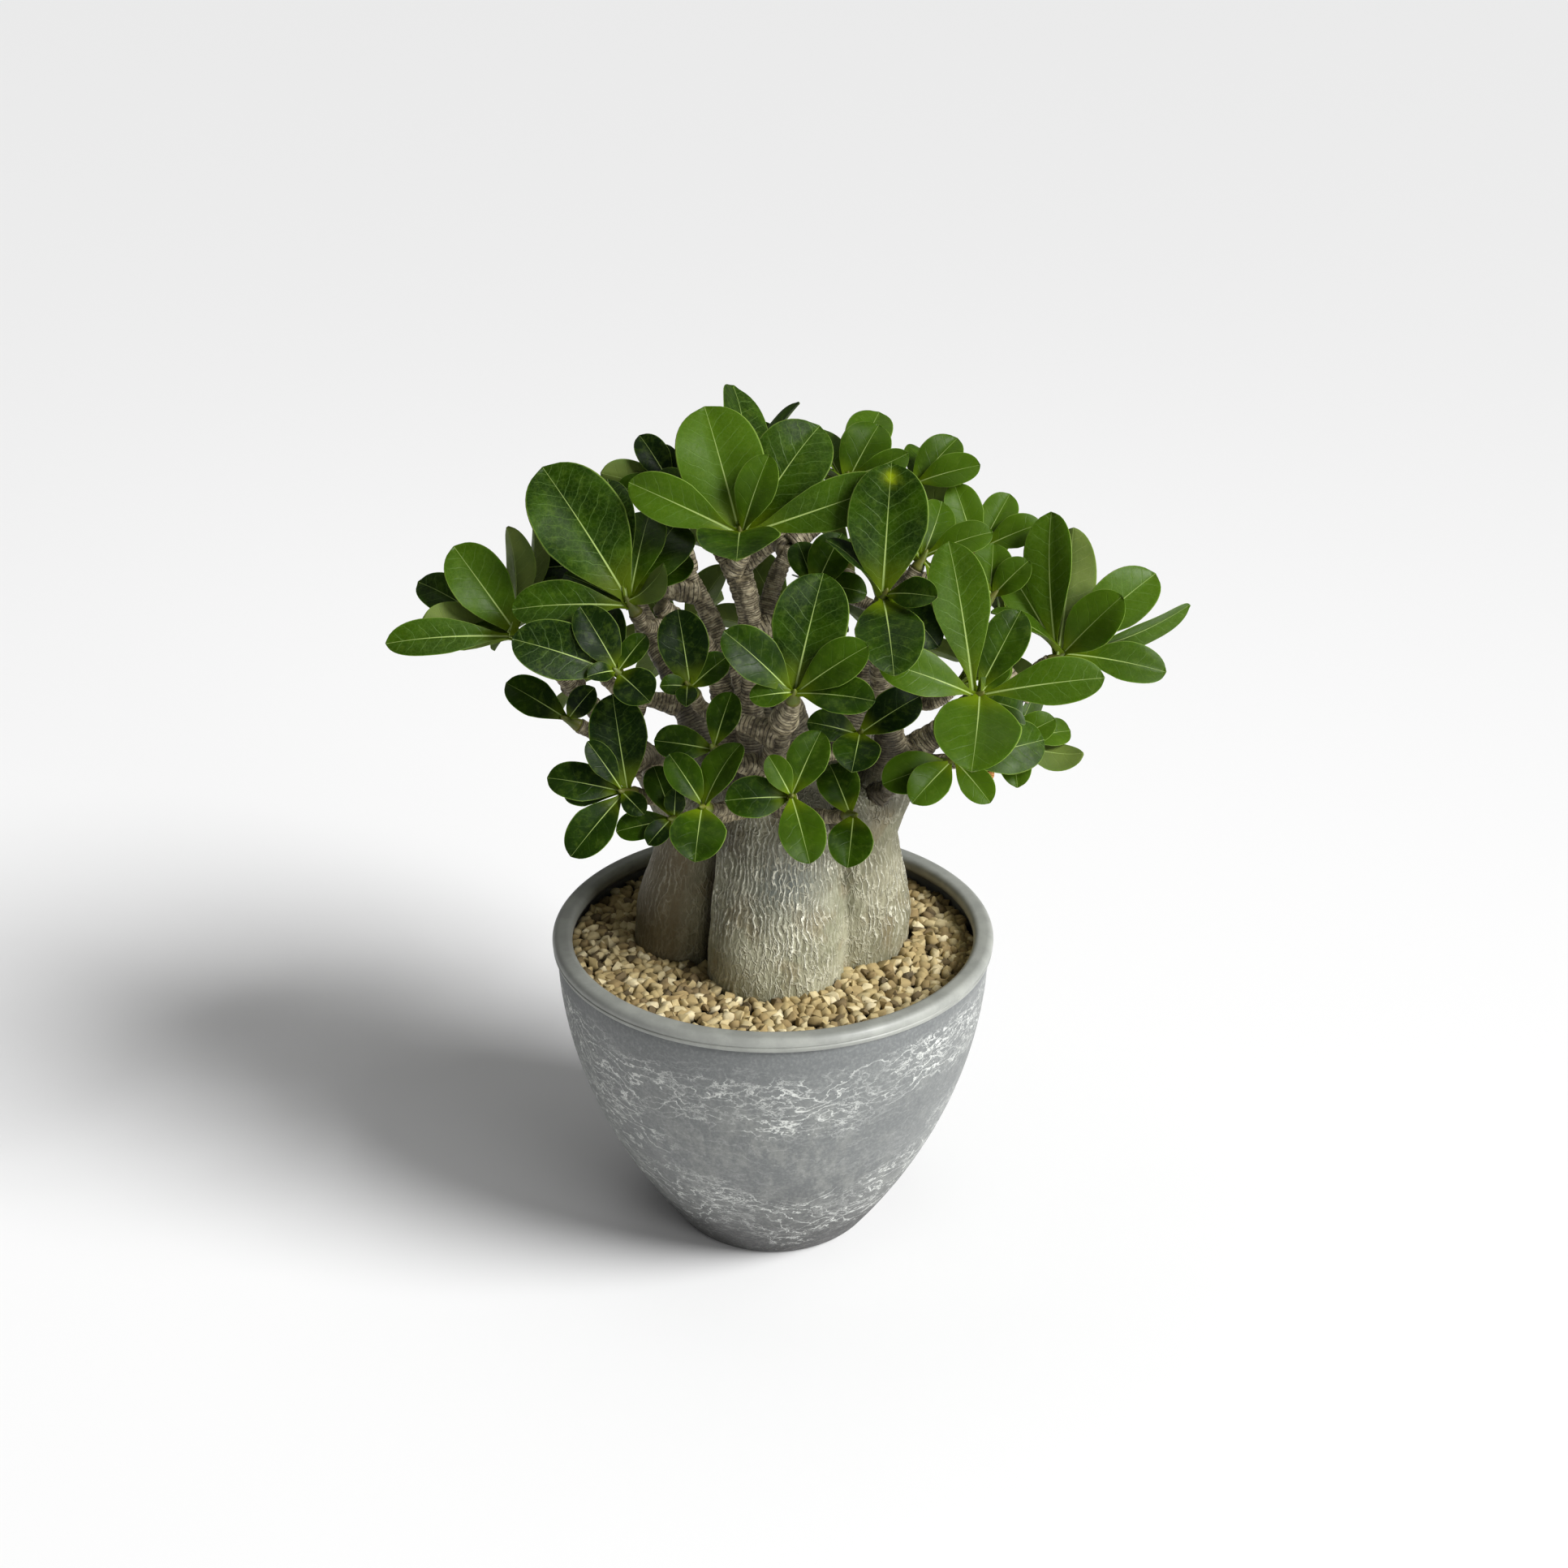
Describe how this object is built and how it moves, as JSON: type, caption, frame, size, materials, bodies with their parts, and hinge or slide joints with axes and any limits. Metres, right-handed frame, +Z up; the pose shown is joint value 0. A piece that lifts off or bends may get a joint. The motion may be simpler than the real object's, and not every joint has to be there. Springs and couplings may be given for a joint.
{
  "type": "potted desert rose adenium",
  "caption": "Old desert rose with a fat lobed caudex, ringed limbs and rosettes of glossy leaves, in a round grey marbled pot topped with pumice gravel.",
  "frame": {"origin": "centre of the pot's flat base, on the surface that it stands on", "axes": "+Z up; the side that the picture shows faces -Y, with +X to its right"},
  "size_m": [0.339, 0.2516, 0.3868],
  "materials": {
    "pot": "satin",
    "potting_mix": "matte",
    "gravel": "matte",
    "bark": "matte",
    "leaf": "gloss"
  },
  "bodies": {
    "root": {"caudex": "bark", "gravel": "gravel", "leaves_back_tier_1_1": "leaf", "leaves_back_tier_1_2": "leaf", "leaves_back_tier_1_3": "leaf", "leaves_back_tier_1_4": "leaf", "leaves_back_tier_1_5": "leaf", "leaves_back_tier_2_1": "leaf", "leaves_back_tier_2_2": "leaf", "leaves_back_tier_2_3": "leaf", "leaves_back_tier_2_4": "leaf", "leaves_back_tier_2_5": "leaf", "leaves_back_tier_2_6": "leaf", "leaves_back_tier_3_1": "leaf", "leaves_back_tier_3_2": "leaf", "leaves_back_tier_3_3": "leaf", "leaves_back_tier_4_1": "leaf", "leaves_behind_left": "leaf", "leaves_behind_top_left": "leaf", "leaves_behind_top_right": "leaf", "leaves_behind_upper_right": "leaf", "leaves_centre": "leaf", "leaves_far_left": "leaf", "leaves_far_right": "leaf", "leaves_high_right": "leaf", "leaves_high_right_back": "leaf", "leaves_inner_front": "leaf", "leaves_inner_high_right": "leaf", "leaves_inner_left": "leaf", "leaves_inner_right": "leaf", "leaves_inner_upper_right": "leaf", "leaves_left_behind": "leaf", "leaves_low_left_small": "leaf", "leaves_low_right": "leaf", "leaves_lower_centre": "leaf", "leaves_lower_front_left": "leaf", "leaves_lower_left": "leaf", "leaves_middle_left": "leaf", "leaves_right": "leaf", "leaves_right_behind": "leaf", "leaves_right_middle": "leaf", "leaves_top": "leaf", "leaves_upper_left": "leaf", "leaves_upper_right": "leaf", "pot": "pot", "potting_mix": "potting_mix"}
  },
  "joints": []
}
